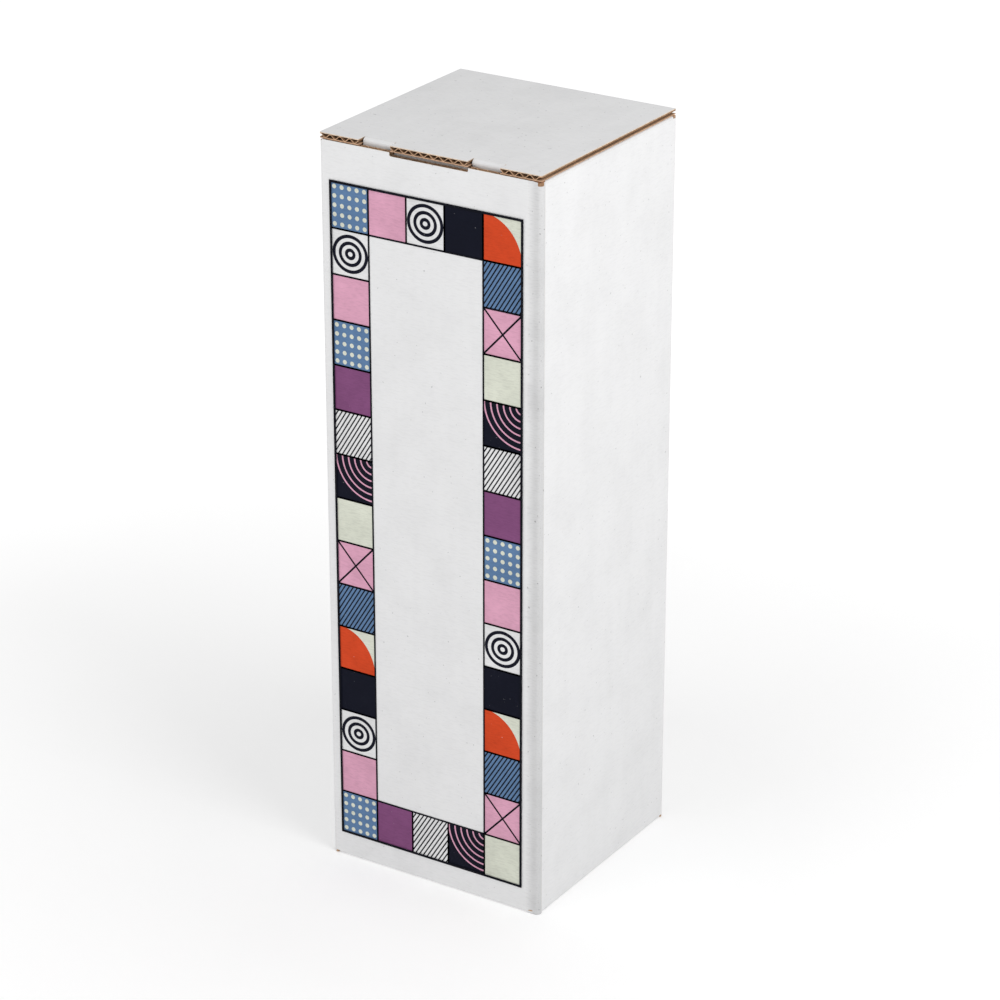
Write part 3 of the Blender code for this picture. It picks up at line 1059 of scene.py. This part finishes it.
def stroke(first, second, width):
    """A straight line between two places."""
    first, second = Vector(first), Vector(second)
    run = second - first
    shape = blank(-run.length / 2, run.length / 2, -width / 2, width / 2)
    shape.rotation_euler.z = math.atan2(run.y, run.x)
    shape.location = (*((first + second) / 2), 0)
    settle(shape)
    return shape


# %% Motifs
HATCH_GAP, HATCH_WIDTH = 0.00145, 0.00042
HATCH_SLOPE = math.radians(58)
RING_COUNT, RING_SHARE, RING_STRETCH = 3, 0.95, 0.88
DOT_COUNT, DOT_SHARE = 5, 0.27
ARC_COUNT, ARC_WIDTH = 6, 0.00052
SMALL_CORNERS, CORNERS, LARGE_CORNERS = 18, 40, 96


def hatch(left, right, bottom, top):
    """Slanting lines across a tile."""
    rise = (top - bottom) / math.tan(HATCH_SLOPE)
    lines = []
    for index in range(int((right - left + rise) / HATCH_GAP) + 1):
        foot = left - rise + index * HATCH_GAP
        lines.append(stroke((foot, bottom), (foot + rise, top), HATCH_WIDTH))
    lay("black", clip(join("hatch", lines), left, right, bottom, top))


def cross(left, right, bottom, top):
    lines = [stroke((left, top), (right, bottom), LINE), stroke((left, bottom), (right, top), LINE)]
    edit(lines[1])
    bpy.ops.transform.translate(value=(0, 0, INK_STEP / 2))
    done()
    lay("black", clip(join("cross", lines), left, right, bottom, top))


def rings(left, right, bottom, top):
    middle = ((left + right) / 2, (top + bottom) / 2)
    reach, stretch = (right - left) / 2, (top - bottom) / (right - left) * RING_STRETCH
    width = reach / (2 * RING_COUNT)
    for index in range(RING_COUNT):
        radius = reach * RING_SHARE - index * 2 * width
        lay("navy", hollow(disc(middle, radius, radius * stretch, CORNERS), width * RING_SHARE))


def dots(left, right, bottom, top):
    """A grid of dots: one is modelled, and two Array modifiers repeat it."""
    gap_x, gap_y = (right - left) / DOT_COUNT, (top - bottom) / DOT_COUNT
    radius = gap_x * DOT_SHARE
    dot = disc((left + gap_x / 2, bottom + gap_y / 2), radius, radius, SMALL_CORNERS)
    for offset in ((gap_x, 0, 0), (0, gap_y, 0)):
        apply_modifier(
            dot, "ARRAY", count=DOT_COUNT, use_relative_offset=False,
            use_constant_offset=True, constant_offset_displace=offset,
        )
    lay("cream", dot)


def quarter(left, right, bottom, top):
    """A quarter of an ellipse that fills the tile from its bottom left corner."""
    shape = disc((left, bottom), right - left, top - bottom, LARGE_CORNERS)
    lay("orange", clip(shape, left, right, bottom, top))


def arcs(left, right, bottom, top):
    """Nested quarter rings round the tile's top right corner."""
    reach = min(right - left, top - bottom)
    for index in range(ARC_COUNT):
        radius = reach * (index + 1) / ARC_COUNT
        ring = hollow(disc((right, top), radius, radius, LARGE_CORNERS), ARC_WIDTH)
        lay("pink", clip(ring, left, right, bottom, top))


print("motifs ready")

# %% [markdown]
# The border is a ring of square cells round the open centre. It is walked clockwise,
# and each cell takes the next motif of a list, so that no two neighbours are alike. A
# list of 11 doesn't go evenly into 36 cells, which keeps the left and right sides from
# looking the same. There are eight inks: a grey blue, a soft pink, a blue black, an
# ivory, an orange, a plum, a white, and a black for the lines.

# %% The list of motifs
CELL = 2
MOTIFS = [
    ("blue", dots), ("pink", None), ("white", rings), ("navy", None), ("cream", quarter),
    ("blue", hatch), ("pink", cross), ("cream", None), ("navy", arcs), ("white", hatch),
    ("plum", None),
]
print("motifs in the list", len(MOTIFS))

# %% Walk round the border
across, down = COLUMNS // CELL, ROWS // CELL
ring = [(c, 0) for c in range(across)]
ring += [(across - 1, r) for r in range(1, down)]
ring += [(c, down - 1) for c in range(across - 2, -1, -1)]
ring += [(0, r) for r in range(down - 2, 0, -1)]
for index, (c, r) in enumerate(ring):
    ground, draw = MOTIFS[index % len(MOTIFS)]
    cell = area(c * CELL, r * CELL, (c + 1) * CELL, (r + 1) * CELL)
    lay(ground, blank(*cell), 0)
    frame_line(*cell, LINE_LAYER, LINE)
    if draw:
        draw(*cell)
frame_line(*area(0, 0, COLUMNS, ROWS), FRAME_LAYER, FRAME_LINE)
print("cells", len(ring))
print("shapes", {colour: len(shapes) for colour, shapes in ink.items()})

# %% [markdown]
# Ink on board soaks in, so it has the paper's own mottling and a softer shine than
# paint, and small flecks of the paper show through it.


# %% Inks
WEAR = 0.10
BARE_PAPER = (0.62, 0.62, 0.62)


def printed(name, tone):
    material, nodes, links, shader, place = new_material(name, 0.62)
    shader.inputs["Specular IOR Level"].default_value = 0.06
    deep = tuple(channel * (1 - WEAR) for channel in tone)
    pale = tuple(min(1, channel * (1 + WEAR) + 0.002) for channel in tone)
    cloud = noise(nodes, links, place, 75, 5.0, rough=0.65)
    colour = ramp(nodes, links, cloud, [(0.32, deep), (0.52, tone), (0.74, pale)])
    grain = noise(nodes, links, place, 2300, 2.0, (0.2, 1, 1))
    grains = ramp(nodes, links, grain, [(0.34, grey(0.9)), (0.55, grey(1))])
    colour = mix(nodes, links, "MULTIPLY", 1.0, colour, grains)
    fleck = noise(nodes, links, place, 1500, 2.0)
    missed = ramp(nodes, links, fleck, [(0.765, grey(0)), (0.79, grey(0.5))])
    colour = mix(nodes, links, "MIX", missed, colour, BARE_PAPER)
    links.new(colour, shader.inputs["Base Color"])
    bump(nodes, links, shader, noise(nodes, links, place, 1500, 3.0), 0.00003, 0.6)
    return material


to_front = Matrix((X, Z, -Y)).transposed().to_4x4()
for colour, shapes in ink.items():
    piece = join(colour + "_ink", shapes)
    edit(piece)
    bpy.ops.mesh.select_mode(type="FACE")
    bpy.ops.mesh.select_all(action="SELECT")
    bpy.ops.mesh.normals_make_consistent(inside=False)
    done()
    apply_modifier(piece, "SOLIDIFY", thickness=INK_THICK, offset=0)
    piece.matrix_world = Matrix.Translation((0, low.y - INK_STEP, 0)) @ to_front
    settle(piece)
    paint(piece, printed(colour + "_print", INK_TONES[colour]), everywhere)
    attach(piece, "sleeve")
    print(piece.name, len(piece.data.polygons), "faces")

# %% [markdown]
# ## Camera
# The box is seen from above its front right corner through a long lens, so its upright
# edges stay close to parallel. The camera is placed by two angles and a distance from
# the box's middle, and it is turned towards a point a little below that.

# %% Camera
CAMERA_TURN, CAMERA_RISE = math.radians(32.5), math.radians(23.6)
CAMERA_DISTANCE = 1.116
CAMERA_LENS, SENSOR_WIDTH = 127.8, 36
AIM_BELOW = 0.0026
back_way = Vector((
    math.sin(CAMERA_TURN) * math.cos(CAMERA_RISE),
    -math.cos(CAMERA_TURN) * math.cos(CAMERA_RISE),
    math.sin(CAMERA_RISE),
))
turn = (-back_way).to_track_quat("-Z", "Y")
aim = (low + high) / 2 - (turn @ Y) * AIM_BELOW
bpy.ops.object.camera_add(location=aim + back_way * CAMERA_DISTANCE)
camera = bpy.context.active_object
camera.rotation_mode = "QUATERNION"
camera.rotation_quaternion = turn
camera.data.lens, camera.data.sensor_width = CAMERA_LENS, SENSOR_WIDTH
bpy.context.scene.camera = camera
print("camera at", [round(c, 3) for c in camera.location])

# %% [markdown]
# ## Floor
# A studio table for white goods is a sheet of pale paper lit so evenly that it has no
# horizon. One large plane does that. It glows a little, and more so far from the box,
# as a paper sweep with lamps behind it does, and faint clouds keep it from being a
# flat white.

# %% Floor
FLOOR_SIZE = 12
GLOW_START, GLOW_END = 0.10, 0.45
GLOW_NEAR, GLOW_FAR = 0.20, 0.48
bpy.ops.object.select_all(action="DESELECT")
bpy.ops.mesh.primitive_plane_add(size=FLOOR_SIZE, location=(0, 0, low.z))
floor = bpy.context.active_object
floor.name = "floor"
settle(floor)
material, nodes, links, shader, place = new_material("pale_floor", 0.9)
cloud = noise(nodes, links, place, 6, 3.0)
clouds = ramp(nodes, links, cloud, [(0.3, grey(0.885)), (0.7, grey(0.905))])
links.new(clouds, shader.inputs["Base Color"])
distance = nodes.new("ShaderNodeVectorMath")
distance.operation = "LENGTH"
links.new(place, distance.inputs[0])
glow = nodes.new("ShaderNodeMapRange")
glow.inputs["From Min"].default_value = GLOW_START
glow.inputs["From Max"].default_value = GLOW_END
glow.inputs["To Min"].default_value = GLOW_NEAR
glow.inputs["To Max"].default_value = GLOW_FAR
links.new(distance.outputs["Value"], glow.inputs["Value"])
links.new(glow.outputs["Result"], shader.inputs["Emission Strength"])
shader.inputs["Emission Color"].default_value = (1, 1, 1, 1)
paint(floor, material, everywhere)
print("floor", FLOOR_SIZE, "m")

# %% [markdown]
# ## Light
# An even white world fills every shadow. A softbox close to the right side and above it
# makes the top of that side the brightest part and lets it fall off downwards, and a
# larger one in front keeps the printed side a shade darker. White board looks washed
# out under a filmic curve, so the view transform is the plain one.

# %% World
WORLD_STRENGTH = 0.63
world = bpy.data.worlds.new("studio")
bpy.context.scene.world = world
world.use_nodes = True
background = world.node_tree.nodes["Background"]
background.inputs["Color"].default_value = (1, 1, 1, 1)
background.inputs["Strength"].default_value = WORLD_STRENGTH
bpy.context.scene.view_settings.view_transform = "Standard"
print("world", WORLD_STRENGTH)


# %% Softboxes
LAMP_AIM = Vector((0, 0, 0.12))


def softbox(name, place, size, power):
    """A square lamp that faces the middle of the box."""
    bpy.ops.object.light_add(type="AREA", location=place)
    lamp = bpy.context.active_object
    lamp.name = name
    lamp.rotation_mode = "QUATERNION"
    lamp.rotation_quaternion = (LAMP_AIM - Vector(place)).to_track_quat("-Z", "Y")
    lamp.data.shape, lamp.data.size, lamp.data.energy = "SQUARE", size, power
    print(name, place, power, "W")


softbox("right_softbox", (0.44, -0.12, 0.56), 0.3, 1.17)
softbox("front_softbox", (-0.55, -1.3, 0.9), 0.8, 2.5)
remove(flute)
